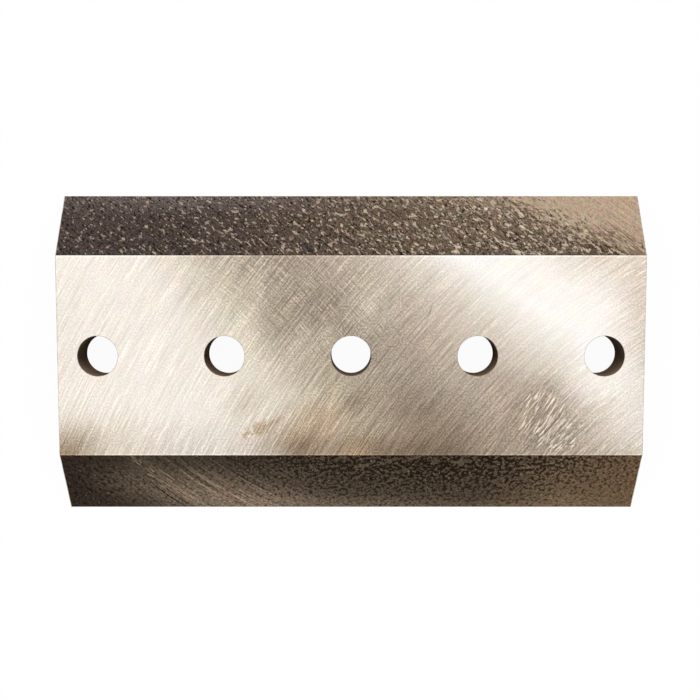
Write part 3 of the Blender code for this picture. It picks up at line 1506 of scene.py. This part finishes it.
    def build(self, shared: SharedEffects) -> bpy.types.Object:
        """Model the knife, dress it and put it in the frame.

        Args:
            shared: The shared shader groups.

        Returns:
            The knife's object.
        """
        knife = self.link("ground_knife", self.make_plate())
        self.bore(knife)
        arris = self.arris_distance() * MILLIMETRES
        finishes: dict[Surface, Finish] = {
            Surface.FRONT: front_face(arris),
            Surface.UPPER_BEVEL: upper_bevel(arris),
            Surface.LOWER_BEVEL: lower_bevel(arris),
            Surface.BACK: back_face(self.high.y * MILLIMETRES),
            Surface.BORE: BoredWall(),
            Surface.END: MilledEnd(),
            Surface.BROKEN_EDGE: BrokenEdge(),
        }
        for surface in Surface:
            knife.data.materials.append(finishes[surface].material(shared))
        for face in knife.data.polygons:
            face.material_index = self.surface_of(face)
        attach(knife, KNIFE_BODY)
        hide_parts(KNIFE_NODE)
        return knife


@dataclass
class Studio:
    """The floor, the soft lamps, the white surroundings and the camera.

    Lengths are in metres, the camera's tilt is in degrees and its sensor's width in millimetres.
    """

    frame_pixels: float = 700.0
    focal_pixels: float = 953.92
    sensor_width: float = 36.0
    camera_place: tuple[float, float, float] = (-0.00044, 0.03291, 0.42671)
    camera_tilt: float = -4.212
    camera_nearest: float = 0.01
    floor_half_size: float = 3.0
    floor_drop: float = 0.0003
    floor_glow: float = 0.95
    floor_colour: tuple[float, ...] = (0.95, 0.95, 0.95, 1.0)
    white: tuple[float, ...] = (1.0, 1.0, 1.0, 1.0)
    lamp_size: float = 0.9
    lamp_power: float = 0.25
    lamps: tuple[tuple[float, float, float], ...] = ((-0.7, 0.1, 1.2), (0.6, 0.35, 1.2))

    def seen_directly(self, wires: Wires) -> Socket:
        """Tell what is looked at from what only gives light.

        Args:
            wires: Where the nodes go.

        Returns:
            1 for the camera, a reflection and a see-through surface, and 0 for light.
        """
        path = wires.put("LightPath", {}).outputs
        seen = wires.math("MAXIMUM", path["Is Camera Ray"], path["Is Glossy Ray"])
        return wires.math("MAXIMUM", seen, path["Is Transmission Ray"])

    def light_surroundings(self) -> None:
        """Surround the scene with plain white light."""
        world = bpy.data.worlds.new("studio")
        bpy.context.scene.world = world
        world.use_nodes = True
        tree = world.node_tree
        tree.nodes.clear()
        wires = Wires(tree)
        white = wires.put("Background", {"Color": self.white, "Strength": 1.0})
        wires.put("OutputWorld", {"Surface": white.outputs[0]})

    def lay_floor(self) -> None:
        """Lay a pale floor that is white to the eye, keeps the knife's shadow and is clear from below."""
        shape = bmesh.new()
        bmesh.ops.create_grid(shape, x_segments=1, y_segments=1, size=self.floor_half_size)
        bmesh.ops.translate(shape, verts=shape.verts, vec=(0.0, 0.0, -self.floor_drop))
        floor = Knife.link("studio_floor", shape)
        material = bpy.data.materials.new("pale_floor")
        material.use_nodes = True
        tree = material.node_tree
        tree.nodes.clear()
        wires = Wires(tree)
        paper = wires.put("BsdfDiffuse", {"Color": self.floor_colour})
        glow = wires.put("Emission", {"Color": self.white, "Strength": 1.0})
        share = wires.math("MULTIPLY", self.seen_directly(wires), self.floor_glow)
        white = wires.put("MixShader", {0: share, 1: paper.outputs[0], 2: glow.outputs[0]})
        clear = wires.put("BsdfTransparent", {})
        beneath = wires.put("NewGeometry", {}).outputs["Backfacing"]
        both = wires.put("MixShader", {0: beneath, 1: white.outputs[0], 2: clear.outputs[0]})
        wires.put("OutputMaterial", {"Surface": both.outputs[0]})
        floor.data.materials.append(material)

    def hang_lamps(self) -> None:
        """Hang the soft lamps, each turned towards the knife."""
        for number, place in enumerate(self.lamps, start=1):
            lamp = bpy.data.lights.new(f"softbox_{number}", "AREA")
            lamp.shape = "SQUARE"
            lamp.size = self.lamp_size
            lamp.energy = self.lamp_power
            item = bpy.data.objects.new(f"softbox_{number}", lamp)
            item.location = place
            item.rotation_euler = (-Vector(place)).to_track_quat("-Z", "Y").to_euler()
            bpy.context.scene.collection.objects.link(item)

    def set_camera(self) -> None:
        """Put the camera where the photograph was taken from."""
        lens = bpy.data.cameras.new("studio_camera")
        lens.sensor_width = self.sensor_width
        lens.lens = self.focal_pixels / self.frame_pixels * self.sensor_width
        lens.clip_start = self.camera_nearest
        camera = bpy.data.objects.new("studio_camera", lens)
        camera.location = self.camera_place
        camera.rotation_euler = Euler((radians(self.camera_tilt), 0.0, 0.0))
        bpy.context.scene.collection.objects.link(camera)
        bpy.context.scene.camera = camera

    def build(self) -> None:
        """Set up the whole studio."""
        bpy.context.scene.view_settings.view_transform = "Standard"
        self.light_surroundings()
        self.lay_floor()
        self.hang_lamps()
        self.set_camera()


def main() -> None:
    """Build the studio and the knife."""
    logging.basicConfig(level=logging.INFO, format="%(name)s: %(message)s")
    Studio().build()
    log.info("studio ready")
    knife = Knife().build(SharedEffects())
    log.info("%s: %d faces", knife.name, len(knife.data.polygons))


if __name__ == "__main__":
    main()
